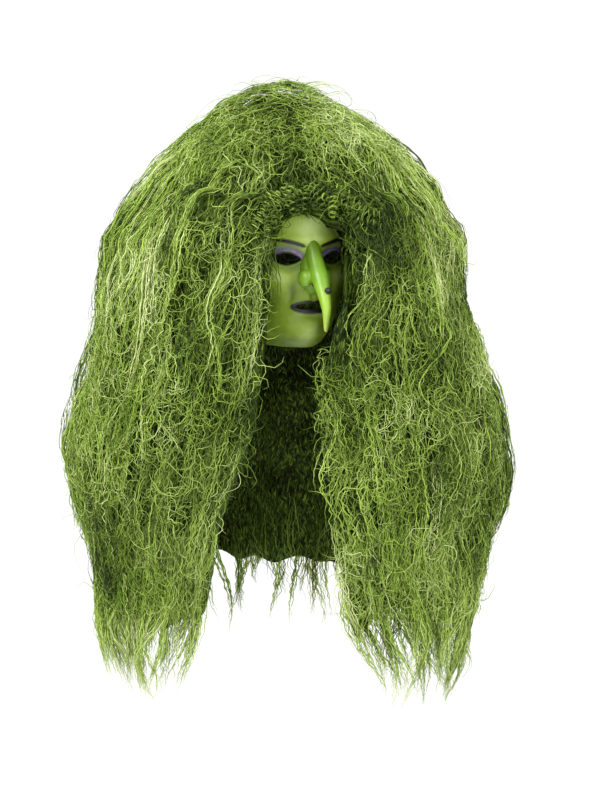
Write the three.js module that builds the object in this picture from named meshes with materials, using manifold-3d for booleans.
// A witch's disguise for the head: a green latex face mask with a long drooping false nose, held by an
// elastic strap, and a full crimped wig that is worn over it. Millimetres, +Z up, the face looks along -Y.
// The origin is the crown of the wearer's head. The shoulders, and the long hair that lies on them,
// are turned under the head by shoulderTurn.
import * as THREE from "three";
import { mergeVertices } from "three/addons/utils/BufferGeometryUtils.js";
import Module from "manifold-3d";

const wasm = await Module();
wasm.setup();

// ---------------------------------------------------------------- driving dimensions
const touch = 0.3; // gap left between pieces that touch
const liftTravel = 260; // how far the wig is lifted to take it off
const swingGap = 3; // gap between hair that swings and hair that stays

const skull = { halfWidth: 78, halfLength: 98, halfHeight: 98, centreY: 8 };
const shoulderTurn = -22; // degrees about +Z

const latex = { clear: 1.5, wall: 2.5, top: -30, bottom: -227, rearAngle: 96, axisY: 5 };
const eye = { x: 32, z: -113, width: 33, height: 15 };
const mouth = { z: -173, width: 44, height: 7 };
const noseHole = { z: -135, width: 22, height: 40 };

const nose = { wall: 2.4, rootRadius: 9.5, ridgeRadius: 11.5, tipRadius: 2.6, length: 97, reach: 44, hump: 28,
  pocketWidth: 17, pocketHeight: 34, pocketEnd: 110 };
const noseRoom = { tip: 17, tipY: 147, wing: 27, wingY: 115 };
const nostril = { x: 13.5, z: -137, radius: 8.5, hole: 3.2 };
const flank = { halfWidth: 16, depth: 14, halfHeight: 29, z: -129, sunk: 4 };
const wart = { radius: 4.6, along: 0.6, side: 14 };

const strap = { width: 12, thick: 1.1, z: -88, templeGrow: 5.2, backGrow: 1.2, lap: 24 };
const rivet = { headRadius: 4.2, headThick: 1, shankRadius: 1.6, fromEdge: 6 };
const slider = { width: 14, frame: 2.2, clear: 0.7, wall: 1.2, travel: 12 };

const cap = { clear: 12, wall: 1.2, frontZ: -47, frontY: -98, napeZ: -178, napeY: 116 };
const band = { width: 9, thick: 1.2, frontEndY: -14, napeStartY: 30 };
const earTab = { fromY: -10, toY: 22, drop: 30, lap: 3 };
const stay = { width: 2.4, thick: 0.9, length: 26, y: 8 };
const weft = { count: 7, first: 13, pitch: 12.5, width: 5, thick: 1.8 };
const loopTape = { fromX: 10, toX: 44, height: 9, thick: 1.3, inset: 0.4, above: 5 };
const hook = { length: 15, height: 6, thick: 1.4, travel: 14 };

const hair = { top: 97, power: 2.3, clear: 17, crownEnd: -64, end: -680, frontLimit: -50, sideHalf: 44 };
const fringe = { radius: 14, out: 11, halfAngle: 46, z: -33, drop: 30 };
const faceArch = { x: 31, z: -64, halfWidth: 46, height: 36 };
const frontPivot = { x: 161, z: -115, radius: 118, splitZ: -126 };
const backPivot = { y: 152, z: -125, radius: 78 };
const backHair = { halfWidth: 0.86, end: -655, innerFrom: 62, thick: 60 };
const sideHair = { end: -545, inner: 104 };

// Half width, front depth and back depth of the hair at a height, below the dome: [z, value]
const domeDepth = 188; // how far below the top the dome gives way to the hanging hair
const hairHalfWidths = [[-690, 228], [-637, 246], [-560, 256], [-480, 262], [-420, 280], [-360, 289],
  [-299, 273], [-195, 245], [-91, 233]];
const hairFronts = [[-690, 158], [-600, 168], [-480, 176], [-360, 184], [-299, 180], [-195, 166], [-91, 152]];
const hairBacks = [[-690, 170], [-540, 192], [-420, 206], [-299, 214], [-195, 210], [-91, 200]];
// Edges of the opening between the front locks, as x in the shoulders' frame: [z, x]
const leftEdges = [[-690, -152], [-637, -143], [-559, -117], [-455, -99], [-351, -57], [-247, -35],
  [-150, -25], [-104, -21], [-80, -17], [-64, -13]];
const rightEdges = [[-690, 140], [-637, 122], [-559, 85], [-455, 66], [-351, 50], [-299, 38], [-247, 44],
  [-200, 52], [-169, 64], [-140, 78], [-104, 82], [-80, 80], [-64, 75]];
// Half width and front depth of the face at a height, as shares of the skull's half width and half length
const faceHalfWidths = [[-227, 0.333], [-222, 0.436], [-205, 0.603], [-185, 0.744], [-160, 0.859], [-135, 0.949],
  [-113, 0.987], [-90, 1.006], [-60, 0.929], [-45, 0.846], [-30, 0.718]];
const faceDepths = [[-227, 0.633], [-222, 0.755], [-205, 0.847], [-185, 0.857], [-160, 0.878], [-135, 0.888],
  [-113, 0.908], [-90, 0.929], [-60, 0.888], [-45, 0.806], [-30, 0.694]];

// ---------------------------------------------------------------- materials
const finish = (color, roughness, metalness = 0) =>
  new THREE.MeshStandardMaterial({ color, roughness, metalness });
const skinLatex = finish(0x8fae3c, 0.45);
const noseLatex = finish(0x7ca02c, 0.4);
const wartLatex = finish(0x1c1e16, 0.5);
const elastic = finish(0x1d1f1b, 0.85);
const metal = finish(0x9a9a94, 0.35, 0.9);
const clearPlastic = finish(0x2a2c28, 0.4);
const netting = finish(0x2c3a1e, 0.9);
const weftTape = finish(0x3a5220, 0.85);
const fibre = finish(0x6d9430, 0.55);
const darkFibre = finish(0x3c5a1e, 0.6);

// ---------------------------------------------------------------- shaping helpers
const radians = THREE.MathUtils.degToRad;

// A smooth function through [position, value] rows, in rising order of position.
function through(rows) {
  const curve = new THREE.CubicInterpolant(rows.map((r) => r[0]), rows.map((r) => r[1]), 1);
  return (at) => curve.evaluate(at)[0];
}

// A three.js geometry as a solid, turned face out if its mapping has turned it inside out.
function solidOf(geometry) {
  const plain = new THREE.BufferGeometry().setAttribute("position", geometry.getAttribute("position"));
  plain.setIndex(geometry.index);
  const merged = mergeVertices(plain, 1e-3);
  const vertProperties = new Float32Array(merged.attributes.position.array);
  const triVerts = new Uint32Array(merged.index.array);
  const solid = new wasm.Manifold(new wasm.Mesh({ numProp: 3, vertProperties, triVerts }));
  if (solid.volume() > 0) return solid;
  return new wasm.Manifold(new wasm.Mesh({ numProp: 3, vertProperties, triVerts: triVerts.reverse() }));
}

function geometryOf(solid) {
  const { numProp, vertProperties, triVerts } = solid.getMesh();
  const count = vertProperties.length / numProp;
  const position = new Float32Array(count * 3);
  for (let i = 0; i < count; i++) {
    position.set(vertProperties.subarray(i * numProp, i * numProp + 3), i * 3);
  }
  const geometry = new THREE.BufferGeometry();
  geometry.setAttribute("position", new THREE.BufferAttribute(position, 3));
  geometry.setIndex(new THREE.BufferAttribute(new Uint32Array(triVerts), 1));
  geometry.computeVertexNormals();
  return geometry;
}

// Moves every vertex of a geometry to where place puts it.
function reshaped(geometry, place) {
  const position = geometry.getAttribute("position");
  const point = new THREE.Vector3();
  for (let i = 0; i < position.count; i++) {
    const { x, y, z } = place(point.fromBufferAttribute(position, i));
    position.setXYZ(i, x, y, z);
  }
  return geometry;
}

// A curved plate: place(u, v, w) gives its points, with u and v from 0 to 1 over its face and w 0 or 1
// on its inner and outer side.
function plate(acrossSteps, alongSteps, place) {
  const blank = new THREE.BoxGeometry(1, 1, 1, acrossSteps, alongSteps, 1);
  return reshaped(blank, (p) => place(p.x + 0.5, p.y + 0.5, p.z + 0.5));
}

function box(fromX, toX, fromY, toY, fromZ, toZ) {
  const geometry = new THREE.BoxGeometry(toX - fromX, toY - fromY, toZ - fromZ);
  return solidOf(geometry.translate((fromX + toX) / 2, (fromY + toY) / 2, (fromZ + toZ) / 2));
}

const tidy = (solid) => solid.decompose().sort((a, b) => b.volume() - a.volume())[0];

// ---------------------------------------------------------------- the head that it fits
// The skull's shape grown by a distance: an ellipsoid down to its widest level, a straight skirt below.
function skullPoint(direction, grow) {
  const flat = Math.hypot(direction.x, direction.y);
  const scale = direction.z < 0 && flat > 1e-6 ? 1 / flat : 1;
  return new THREE.Vector3(
    (skull.halfWidth + grow) * direction.x * scale,
    skull.centreY + (skull.halfLength + grow) * direction.y * scale,
    -skull.halfHeight + (skull.halfHeight + grow) * direction.z,
  );
}

function skullSolid(grow, around = 28, down = 14) {
  const ball = new THREE.SphereGeometry(1, around, down).rotateX(Math.PI / 2);
  return solidOf(reshaped(ball, (p) => skullPoint(p.normalize(), grow)));
}

const skullShell = (inner, outer) => skullSolid(outer).subtract(skullSolid(inner));

// Everything above the cap's tilted edge plane, raised by a distance along its normal.
const edgeTilt = Math.atan2(cap.frontZ - cap.napeZ, cap.napeY - cap.frontY);
function aboveEdge(raise) {
  const half = 400;
  const block = new THREE.BoxGeometry(2 * half, 2 * half, 2 * half).translate(0, 0, half + raise);
  return solidOf(block.rotateX(-edgeTilt).translate(0, cap.frontY, cap.frontZ));
}

// A point on the strap's and the adjusters' level line round the head. Angle 0 is the face, 180 the nape.
function roundHead(angle, grow, z) {
  const a = radians(angle);
  return new THREE.Vector3(
    (skull.halfWidth + grow) * Math.sin(a),
    skull.centreY - (skull.halfLength + grow) * Math.cos(a),
    z,
  );
}

// ---------------------------------------------------------------- latex mask
const faceWidthShare = through(faceHalfWidths);
const faceDepthShare = through(faceDepths);
const faceHalfWidth = (z) => skull.halfWidth * faceWidthShare(z);
const faceDepth = (z) => skull.halfLength * faceDepthShare(z);
const bump = (at, centre, spread) => Math.exp(-(((at - centre) / spread) ** 2));

// How far the features stand out from the plain oval of the face.
function relief(x, z) {
  const side = Math.abs(x);
  return 4 * bump(side, 26, 24) * bump(z, -92, 9)
    - 8 * bump(side, eye.x, 17) * bump(z, eye.z, 12)
    + 4 * bump(side, 46, 15) * bump(z, -140, 13)
    + 3 * bump(x, 0, 12) * bump(z, -130, 24)
    + 4 * bump(x, 0, 28) * bump(z, mouth.z, 16)
    + 5 * bump(x, 0, 17) * bump(z, -207, 11);
}

function facePoint(angle, z, grow) {
  const a = radians(angle);
  const width = faceHalfWidth(z) + grow;
  const depth = faceDepth(z) + grow + relief(width * Math.sin(a), z) * Math.max(0, Math.cos(a));
  return new THREE.Vector3(width * Math.sin(a), latex.axisY - depth * Math.cos(a), z);
}

function faceSolid(inner, outer, acrossSteps = 24, alongSteps = 18) {
  const height = latex.top - latex.bottom;
  return solidOf(plate(acrossSteps, alongSteps, (u, v, w) =>
    facePoint((2 * u - 1) * latex.rearAngle, latex.bottom + v * height, w ? outer : inner)));
}

// A cutter along Y with an almond or rounded outline, from in front of the face to inside it.
function faceCutter(centreX, centreZ, width, height, corner = 0) {
  const half = width / 2;
  const outline = new THREE.Shape();
  outline.moveTo(-half, -corner);
  outline.quadraticCurveTo(-half * 0.45, height / 2 + corner, half * 0.1, height / 2);
  outline.quadraticCurveTo(half * 0.75, height / 2, half, 0);
  outline.quadraticCurveTo(half * 0.5, -height / 2, 0, -height / 2);
  outline.quadraticCurveTo(-half * 0.6, -height / 2, -half, -corner);
  const block = new THREE.ExtrudeGeometry(outline, { depth: 130, bevelEnabled: false, curveSegments: 5 });
  if (centreX < 0) block.scale(-1, 1, 1);
  return solidOf(block.rotateX(Math.PI / 2).translate(centreX, -20, centreZ));
}

function ovalCutter(centreZ, width, height) {
  const rod = new THREE.CylinderGeometry(width / 2, width / 2, 130, 24);
  return solidOf(rod.scale(1, 1, height / width).translate(0, -85, centreZ));
}

const rivetAngle = latex.rearAngle - rivet.fromEdge;
const rivetReach = 20;

// The rivet's own frame: its shank runs outwards through the temple at the strap's level.
function rivetFrame(side) {
  const frame = new THREE.Object3D();
  const at = facePoint(side * rivetAngle, strap.z, latex.clear + latex.wall);
  frame.position.copy(at);
  frame.rotation.z = side > 0 ? 0 : Math.PI;
  frame.updateMatrix();
  return frame;
}

function rivetHole(side, radius) {
  const rod = new THREE.CylinderGeometry(radius, radius, 2 * rivetReach, 16).rotateZ(Math.PI / 2);
  return solidOf(rod.applyMatrix4(rivetFrame(side).matrix));
}

function maskShell() {
  let shell = faceSolid(latex.clear, latex.clear + latex.wall);
  for (const side of [-1, 1]) {
    shell = shell.subtract(faceCutter(side * eye.x, eye.z, eye.width, eye.height, 1.5));
    shell = shell.subtract(rivetHole(side, rivet.shankRadius + touch));
  }
  shell = shell.subtract(ovalCutter(mouth.z, mouth.width, mouth.height));
  return shell.subtract(ovalCutter(noseHole.z, noseHole.width, noseHole.height));
}

// The nose's middle line: down from between the brows, out over a hump, to a hanging tip.
const noseRoot = facePoint(0, -103, latex.clear + latex.wall);
const noseLine = new THREE.CatmullRomCurve3([
  noseRoot.clone().add(new THREE.Vector3(0, 4, 6)),
  noseRoot.clone().add(new THREE.Vector3(0, -nose.hump * 0.45, -nose.length * 0.2)),
  noseRoot.clone().add(new THREE.Vector3(0, -nose.hump, -nose.length * 0.42)),
  noseRoot.clone().add(new THREE.Vector3(0, -nose.reach, -nose.length * 0.72)),
  noseRoot.clone().add(new THREE.Vector3(0, -nose.reach + 2, -nose.length)),
]);

function noseRadius(along) {
  const bridge = THREE.MathUtils.lerp(nose.rootRadius, nose.ridgeRadius, Math.min(1, along / 0.4));
  return along < 0.4 ? bridge : THREE.MathUtils.lerp(nose.ridgeRadius, nose.tipRadius, (along - 0.4) / 0.6);
}

// A round body along the nose's middle line, with its radius grown by a distance, ending in a dome.
function noseBody(grow, until = 1) {
  const blank = new THREE.CylinderGeometry(1, 1, 1, 14, 12);
  return solidOf(reshaped(blank, (p) => {
    const along = (0.5 - p.y) * until;
    const dome = Math.sqrt(Math.max(0, 1 - Math.max(0, (along / until - 0.93) / 0.07) ** 2));
    const radius = (noseRadius(along) + grow) * Math.max(0.35, dome);
    const centre = noseLine.getPointAt(along);
    const tangent = noseLine.getTangentAt(along);
    const forward = new THREE.Vector3(1, 0, 0).cross(tangent).normalize();
    return centre.addScaledVector(forward, p.z * radius).add(new THREE.Vector3(p.x * radius, 0, 0));
  }));
}

function noseWing(side, grow) {
  const radius = nostril.radius + grow;
  const ball = new THREE.SphereGeometry(radius, 12, 8).scale(1, 1.45, 1.35);
  const faceY = facePoint(0, nostril.z, latex.clear + latex.wall).y;
  return solidOf(ball.translate(side * nostril.x, faceY - 7, nostril.z));
}

// The swelling on both sides of the bridge, which closes the gap between it and the cheeks.
function noseFlank(grow) {
  const ball = new THREE.SphereGeometry(1, 16, 12);
  ball.scale(flank.halfWidth + grow, flank.depth + grow, flank.halfHeight + grow);
  const faceY = facePoint(0, flank.z, latex.clear + latex.wall).y;
  return solidOf(ball.translate(0, faceY + flank.sunk, flank.z));
}

// The solid that lies behind the false nose's glued edge.
const faceBacking = faceSolid(-22, latex.clear + latex.wall + touch);

function noseOuter(grow) {
  return noseBody(grow).add(noseFlank(grow)).add(noseWing(-1, grow)).add(noseWing(1, grow));
}

function noseCover() {
  const sides = noseFlank(-nose.wall).add(noseWing(-1, -nose.wall)).add(noseWing(1, -nose.wall));
  const hollow = noseBody(-nose.wall, 0.72).add(sides);
  let cover = noseOuter(0).subtract(hollow).subtract(faceBacking);
  const behindFace = box(-60, 60, -70, 60, -240, -40);
  const pocket = ovalCutter(noseHole.z, nose.pocketWidth, nose.pocketHeight);
  cover = cover.subtract(behindFace).subtract(pocket.intersect(box(-60, 60, -nose.pocketEnd, 60, -240, -40)));
  for (const side of [-1, 1]) {
    const rod = new THREE.CylinderGeometry(nostril.hole, nostril.hole, 24, 14).rotateX(Math.PI / 2);
    const at = facePoint(0, nostril.z, latex.clear + latex.wall);
    cover = cover.subtract(solidOf(rod.translate(side * nostril.x, at.y - 9, nostril.z - 12)));
  }
  return tidy(cover);
}

function wartCentre() {
  const a = radians(wart.side);
  const centre = noseLine.getPointAt(wart.along);
  const tangent = noseLine.getTangentAt(wart.along);
  const forward = new THREE.Vector3(1, 0, 0).cross(tangent).normalize();
  if (forward.y > 0) forward.negate();
  const out = forward.multiplyScalar(Math.cos(a)).add(new THREE.Vector3(Math.sin(a), 0, 0));
  return centre.addScaledVector(out, noseRadius(wart.along) + wart.radius * 0.05);
}

function wartDome() {
  const at = wartCentre();
  const ball = new THREE.SphereGeometry(wart.radius, 14, 9).translate(at.x, at.y, at.z);
  return tidy(solidOf(ball).subtract(noseOuter(touch)));
}

// One half of the elastic strap, from its rivet round the back of the head, past the middle by lap.
function strapHalf(side, layer) {
  const lapAngle = THREE.MathUtils.radToDeg(strap.lap / skull.halfLength);
  const from = rivetAngle - 5;
  const to = 180 + lapAngle;
  const lift = layer * (strap.thick + touch);
  const half = solidOf(plate(26, 1, (u, v, w) => {
    const angle = THREE.MathUtils.lerp(from, to, u);
    const ease = THREE.MathUtils.smoothstep(angle, from + 8, from + 45);
    const grow = THREE.MathUtils.lerp(strap.templeGrow, strap.backGrow + lift, ease) + w * strap.thick;
    return roundHead(side * angle, grow, strap.z + (v - 0.5) * strap.width);
  }));
  return half.subtract(rivetHole(side, rivet.shankRadius + touch));
}

// Head disc, shank and clinched end in one turned piece, along +X from the mask's outer face.
function rivetBody() {
  const inside = -(latex.wall + 2 * touch + 2.2);
  const strapTop = strap.templeGrow - latex.clear - latex.wall + strap.thick + 0.5;
  const profile = [
    [0, inside], [rivet.shankRadius, inside], [rivet.shankRadius, strapTop],
    [rivet.headRadius, strapTop], [rivet.headRadius * 0.8, strapTop + rivet.headThick],
    [0, strapTop + rivet.headThick],
  ].map(([r, along]) => new THREE.Vector2(r, along));
  return new THREE.LatheGeometry(profile, 20).rotateZ(-Math.PI / 2);
}

function washerBody() {
  const inner = rivet.shankRadius + touch;
  const from = -(latex.wall + touch + 1.6);
  const profile = [
    [inner, from], [rivet.headRadius, from], [rivet.headRadius, from + 0.9], [inner, from + 0.9], [inner, from],
  ].map(([r, along]) => new THREE.Vector2(r, along));
  return new THREE.LatheGeometry(profile, 20).rotateZ(-Math.PI / 2);
}

// The flat keeper that the two strap halves run through at the back of the head.
function strapSlider() {
  const tunnelLow = strap.backGrow - slider.clear;
  const tunnelHigh = strap.backGrow + 2 * strap.thick + touch + slider.clear;
  const halfAngle = THREE.MathUtils.radToDeg(slider.width / 2 / skull.halfLength) * 1.25;
  const ring = (inner, outer, height, reach) => solidOf(plate(6, 1, (u, v, w) =>
    roundHead(180 + (2 * u - 1) * reach, w ? outer : inner, strap.z + (v - 0.5) * height)));
  const frameHeight = strap.width + 2 * (slider.clear + slider.frame);
  const outside = ring(tunnelLow - slider.wall * 0.5, tunnelHigh + slider.wall, frameHeight, halfAngle);
  return outside.subtract(ring(tunnelLow, tunnelHigh, strap.width + 2 * slider.clear, halfAngle * 2));
}

// ---------------------------------------------------------------- wig cap
const capOuter = cap.clear + cap.wall;
const bandInner = capOuter + touch;

const wigCap = () => skullShell(cap.clear, capOuter).intersect(aboveEdge(0));

function edgeRing(inner, outer, from, width) {
  return skullShell(inner, outer).intersect(aboveEdge(from)).subtract(aboveEdge(from + width));
}

const bandRing = () => edgeRing(bandInner, bandInner + band.thick, 0, band.width);
const frontBand = () => tidy(bandRing().subtract(box(-200, 200, band.frontEndY, 300, -400, 200)));
const napeBand = () => tidy(bandRing().subtract(box(-200, 200, -300, band.napeStartY, -400, 200)));

function earTabPatch(side) {
  const middleY = (earTab.fromY + earTab.toY) / 2;
  const edgeZ = cap.frontZ - Math.tan(edgeTilt) * (middleY - cap.frontY);
  const inX = side > 0 ? [20, 200] : [-200, -20];
  const region = box(...inX, earTab.fromY, earTab.toY, edgeZ - earTab.drop, edgeZ + earTab.lap);
  return tidy(skullShell(bandInner, bandInner + band.thick).intersect(region));
}

function earStay(side) {
  const inner = bandInner + band.thick + touch;
  const edgeZ = cap.frontZ - Math.tan(edgeTilt) * (stay.y - cap.frontY);
  const inX = side > 0 ? [20, 200] : [-200, -20];
  const low = edgeZ - earTab.drop + 3;
  const region = box(...inX, stay.y - stay.width / 2, stay.y + stay.width / 2, low, low + stay.length);
  return tidy(skullShell(inner, inner + stay.thick).intersect(region));
}

function weftRow(index) {
  return tidy(edgeRing(bandInner, bandInner + weft.thick, weft.first + index * weft.pitch, weft.width));
}

const napeLevel = cap.napeZ + loopTape.above;

function loopTapePatch(side) {
  const outer = cap.clear - loopTape.inset;
  const region = side > 0 ? [loopTape.fromX, loopTape.toX] : [-loopTape.toX, -loopTape.fromX];
  const cut = box(...region, 20, 200, napeLevel, napeLevel + loopTape.height);
  return tidy(skullShell(outer - loopTape.thick, outer).intersect(cut));
}

// The flat hook on an adjuster's end: it lies on the loop tape and takes any of its loops.
function napeHook(side) {
  const outer = cap.clear - loopTape.inset - loopTape.thick - 3 * touch;
  const start = THREE.MathUtils.radToDeg(loopTape.fromX / skull.halfLength) + 3;
  const sweep = THREE.MathUtils.radToDeg(hook.length / (skull.halfLength + outer));
  return solidOf(plate(6, 1, (u, v, w) => {
    const angle = 180 - side * (start + sweep * u);
    const z = napeLevel + loopTape.height / 2 + (v - 0.5) * hook.height;
    return roundHead(angle, outer - hook.thick + w * hook.thick, z);
  }));
}

// ---------------------------------------------------------------- hair
const hangingWidth = through(hairHalfWidths);
const hangingFront = through(hairFronts);
const hangingBack = through(hairBacks);
const leftEdge = through(leftEdges);
const rightEdge = through(rightEdges);
const domeEnd = hair.top - domeDepth;

// Above domeEnd the hair is a paraboloid that meets the hanging hair at its own size.
function hairSize(z, hanging) {
  return z > domeEnd ? hanging(domeEnd) * Math.sqrt((hair.top - z) / domeDepth) : hanging(z);
}

// How deep the hair's outline is at x, as a share of its full depth.
const roundOff = (x, halfWidth) =>
  Math.max(0, 1 - Math.min(1, Math.abs(x) / halfWidth) ** hair.power) ** (1 / hair.power);

const turned = (geometry) => geometry.rotateZ(radians(shoulderTurn));

function crownSolid() {
  const rings = 11;
  const height = hair.top - hair.crownEnd;
  const profile = [new THREE.Vector2(0, hair.crownEnd)];
  for (let i = rings; i > 0; i--) profile.push(new THREE.Vector2(1, hair.top - height * (i / rings) ** 2));
  profile.push(new THREE.Vector2(0, hair.top));
  const lathe = new THREE.LatheGeometry(profile, 32).rotateX(Math.PI / 2);
  return solidOf(turned(reshaped(lathe, (p) => {
    const share = Math.min(1, Math.hypot(p.x, p.y));
    const a = Math.atan2(p.y, p.x);
    const curve = (value) => Math.sign(value) * Math.abs(value) ** (2 / hair.power);
    const depth = p.y < 0 ? hairSize(p.z, hangingFront) : hairSize(p.z, hangingBack);
    const x = share * hairSize(p.z, hangingWidth) * curve(Math.cos(a));
    return new THREE.Vector3(share ? x : 0, share ? share * depth * curve(Math.sin(a)) : 0, p.z);
  })));
}

// The roll of short curls along the hairline.
function fringeRoll(grow) {
  const blank = new THREE.CapsuleGeometry(1, 1, 4, 12, 14);
  const reach = skull.halfLength + cap.clear + fringe.out;
  const sideReach = skull.halfWidth + cap.clear + 1.3 * fringe.out;
  return solidOf(reshaped(blank, (p) => {
    const radius = fringe.radius + grow;
    const capEnd = Math.sign(p.y) * Math.max(0, Math.abs(p.y) - 0.5);
    const along = Math.max(-0.5, Math.min(0.5, p.y));
    const a = radians(2 * along * fringe.halfAngle);
    const centre = new THREE.Vector3(sideReach * Math.sin(a), skull.centreY - reach * Math.cos(a),
      fringe.z - fringe.drop * (2 * along) ** 2);
    const out = new THREE.Vector3(Math.sin(a), -Math.cos(a), 0);
    const on = new THREE.Vector3(Math.cos(a), Math.sin(a), 0);
    centre.addScaledVector(out, p.x * radius).addScaledVector(on, capEnd * radius);
    return centre.add(new THREE.Vector3(0, 0, p.z * radius));
  }));
}

// How far in front of the shoulders' middle plane the wearer's face, neck and chest lie.
function bodyFront(x, z) {
  const toChest = THREE.MathUtils.smoothstep(-z, 235, 300);
  const depth = THREE.MathUtils.lerp(101, 120, toChest);
  const width = THREE.MathUtils.lerp(101, 222, toChest);
  return Math.max(-hair.frontLimit, depth * Math.sqrt(Math.max(0, 1 - (x / width) ** 2)));
}

// The space that the long nose needs while the wig is lifted off past it.
function noseShaft() {
  const low = noseHole.z - nose.length - liftTravel;
  const wide = box(-noseRoom.wing, noseRoom.wing, -noseRoom.wingY, -60, low, hair.crownEnd - 26);
  return wide.add(box(-noseRoom.tip, noseRoom.tip, -noseRoom.tipY, -60, low, hair.crownEnd - 26));
}

// The hair in front of one shoulder, from the temple to its end, before it is split at its swing.
function frontLock(side) {
  const edge = side > 0 ? rightEdge : leftEdge;
  const from = hair.crownEnd - touch;
  const steps = 22;
  const solid = plate(7, steps, (u, v, w) => {
    const z = THREE.MathUtils.lerp(hair.end, from, v);
    const halfWidth = hairSize(z, hangingWidth);
    const front = hairSize(z, hangingFront);
    const limit = (1 - ((-hair.frontLimit + 6) / front) ** hair.power) ** (1 / hair.power);
    const x = THREE.MathUtils.lerp(edge(z), side * halfWidth * limit, u);
    const taper = 1 - 0.45 * THREE.MathUtils.smoothstep(-z, 520, 690);
    const roll = 22 * (1 - THREE.MathUtils.smoothstep(u, 0, 0.35));
    const inner = Math.max(bodyFront(x, z), front * roundOff(x, halfWidth) * (1 - taper));
    const outer = Math.max(inner + 5, front * roundOff(x, halfWidth) - roll);
    return new THREE.Vector3(x, -(w ? outer : inner), z);
  });
  return solidOf(turned(solid)).subtract(noseShaft());
}

// A rod along the shoulders' front-to-back line, or along their width, round a swing's axis.
function swingRod(radius, x, y, z, sideways) {
  const rod = new THREE.CylinderGeometry(radius, radius, 1200, 32);
  if (sideways) rod.rotateZ(Math.PI / 2);
  return solidOf(turned(rod.translate(x, y, z)));
}

const below = (z) => box(-600, 600, -600, 600, -900, z);

function templeHair(side) {
  const lobe = frontLock(side).intersect(swingRod(frontPivot.radius, side * frontPivot.x, 0, frontPivot.z));
  return tidy(lobe.subtract(fringeRoll(touch)).subtract(skullSolid(hair.clear)));
}

function frontHair(side) {
  const rod = swingRod(frontPivot.radius + swingGap, side * frontPivot.x, 0, frontPivot.z);
  return tidy(frontLock(side).intersect(below(frontPivot.splitZ)).subtract(rod).subtract(fringeRoll(touch)));
}

function sideHairSolid(side) {
  const solid = plate(3, 16, (u, v, w) => {
    const z = THREE.MathUtils.lerp(sideHair.end, hair.crownEnd - touch, v);
    const outer = hairSize(z, hangingWidth) * 0.98;
    const onShoulder = THREE.MathUtils.smoothstep(-z, 215, 300);
    const inner = THREE.MathUtils.lerp(sideHair.inner, 226, onShoulder);
    const x = side * (w ? outer * (1 - 0.04 * (2 * u - 1) ** 2) : inner);
    return new THREE.Vector3(x, (2 * u - 1) * hair.sideHalf, z);
  });
  return tidy(solidOf(turned(solid)).subtract(fringeRoll(touch)).subtract(skullSolid(hair.clear)));
}

function backLock() {
  const solid = plate(12, 20, (u, v, w) => {
    const z = THREE.MathUtils.lerp(backHair.end, hair.crownEnd - touch, v);
    const halfWidth = hairSize(z, hangingWidth);
    const x = (2 * u - 1) * halfWidth * backHair.halfWidth;
    const outer = hairSize(z, hangingBack) * roundOff(x, halfWidth);
    const head = 132 * Math.sqrt(Math.max(0, 1 - (x / 118) ** 2));
    const skin = Math.max(outer - backHair.thick, z > -205 ? head : 0);
    const inner = Math.max(backHair.innerFrom, Math.min(skin, outer - 8));
    return new THREE.Vector3(x, w ? Math.max(outer, inner + 8) : inner, z);
  });
  return solidOf(turned(solid));
}

const backRod = (radius) => swingRod(radius, 0, backPivot.y, backPivot.z, true);
const napeHair = () => tidy(backLock().subtract(below(backPivot.z)).add(
  backLock().intersect(backRod(backPivot.radius))).subtract(skullSolid(hair.clear)));
const backHairSolid = () => tidy(backLock().intersect(below(backPivot.z - 12)).subtract(
  backRod(backPivot.radius + swingGap)).subtract(skullSolid(hair.clear)));

// The crown of the wig, cut to an arch over the forehead.
function crownHair() {
  const arch = new THREE.CylinderGeometry(1, 1, 400, 28).scale(faceArch.halfWidth, 1, faceArch.height);
  const opening = solidOf(turned(arch.translate(faceArch.x, -200 + hair.frontLimit, faceArch.z)));
  const dome = crownSolid().subtract(skullSolid(hair.clear)).subtract(opening);
  return tidy(dome.subtract(fringeRoll(touch)));
}

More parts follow.
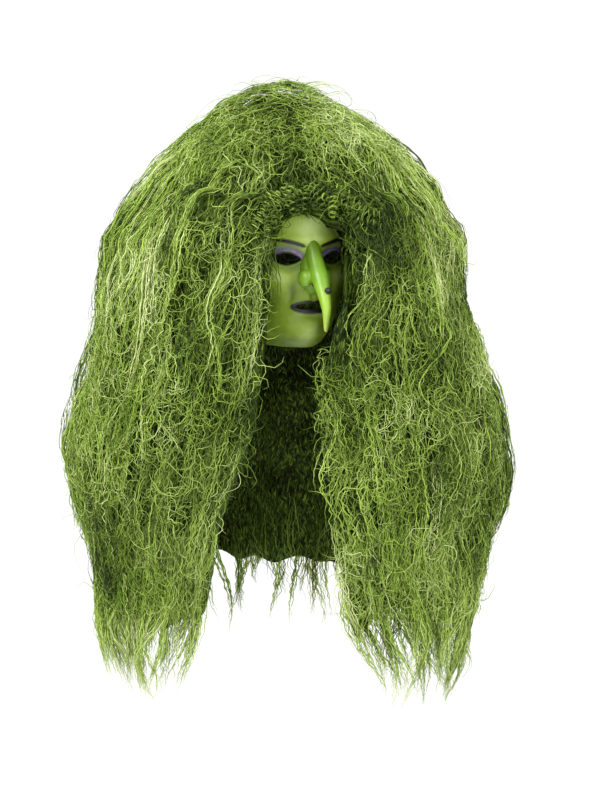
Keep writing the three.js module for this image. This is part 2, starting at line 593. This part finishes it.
// ---------------------------------------------------------------- assembly
const object = new THREE.Group();
const maskGroup = new THREE.Group();
const wigGroup = new THREE.Group();
const hairGroup = new THREE.Group();
object.add(maskGroup, wigGroup, hairGroup);

function place(group, name, shape, material) {
  const geometry = shape.isBufferGeometry ? shape : geometryOf(shape);
  const mesh = new THREE.Mesh(geometry, material);
  mesh.name = name;
  group.add(mesh);
  return mesh;
}

const sides = [["left", 1], ["right", -1]]; // the wearer's left is +X

place(maskGroup, "mask_shell", maskShell(), skinLatex);
place(maskGroup, "nose_cover", noseCover(), noseLatex);
place(maskGroup, "nose_wart", wartDome(), wartLatex);
sides.forEach(([word, side], layer) => {
  place(maskGroup, `head_strap_${word}`, strapHalf(side, layer), elastic);
  for (const [name, body] of [["strap_rivet", rivetBody()], ["rivet_washer", washerBody()]]) {
    const mesh = place(maskGroup, `${name}_${word}`, geometryOf(solidOf(body)), metal);
    mesh.position.copy(rivetFrame(side).position);
    mesh.rotation.copy(rivetFrame(side).rotation);
  }
});
place(maskGroup, "strap_slider", strapSlider(), clearPlastic);

place(wigGroup, "wig_cap", wigCap(), netting);
place(wigGroup, "cap_front_band", frontBand(), elastic);
place(wigGroup, "cap_nape_band", napeBand(), elastic);
for (let i = 0; i < weft.count; i++) place(wigGroup, `hair_weft_${i + 1}`, weftRow(i), weftTape);
for (const [word, side] of sides) {
  place(wigGroup, `ear_tab_${word}`, earTabPatch(side), netting);
  place(wigGroup, `ear_tab_stay_${word}`, earStay(side), clearPlastic);
  place(wigGroup, `nape_loop_tape_${word}`, loopTapePatch(side), weftTape);
  place(wigGroup, `nape_hook_${word}`, napeHook(side), clearPlastic);
}

place(hairGroup, "crown_hair", crownHair(), fibre);
place(hairGroup, "fringe_curls", fringeRoll(0), darkFibre);
place(hairGroup, "nape_hair", napeHair(), fibre);
place(hairGroup, "back_hair", backHairSolid(), fibre);
for (const [word, side] of sides) {
  place(hairGroup, `temple_hair_${word}`, templeHair(side), fibre);
  place(hairGroup, `front_hair_${word}`, frontHair(side), fibre);
  place(hairGroup, `side_hair_${word}`, sideHairSolid(side), fibre);
}

export default object;
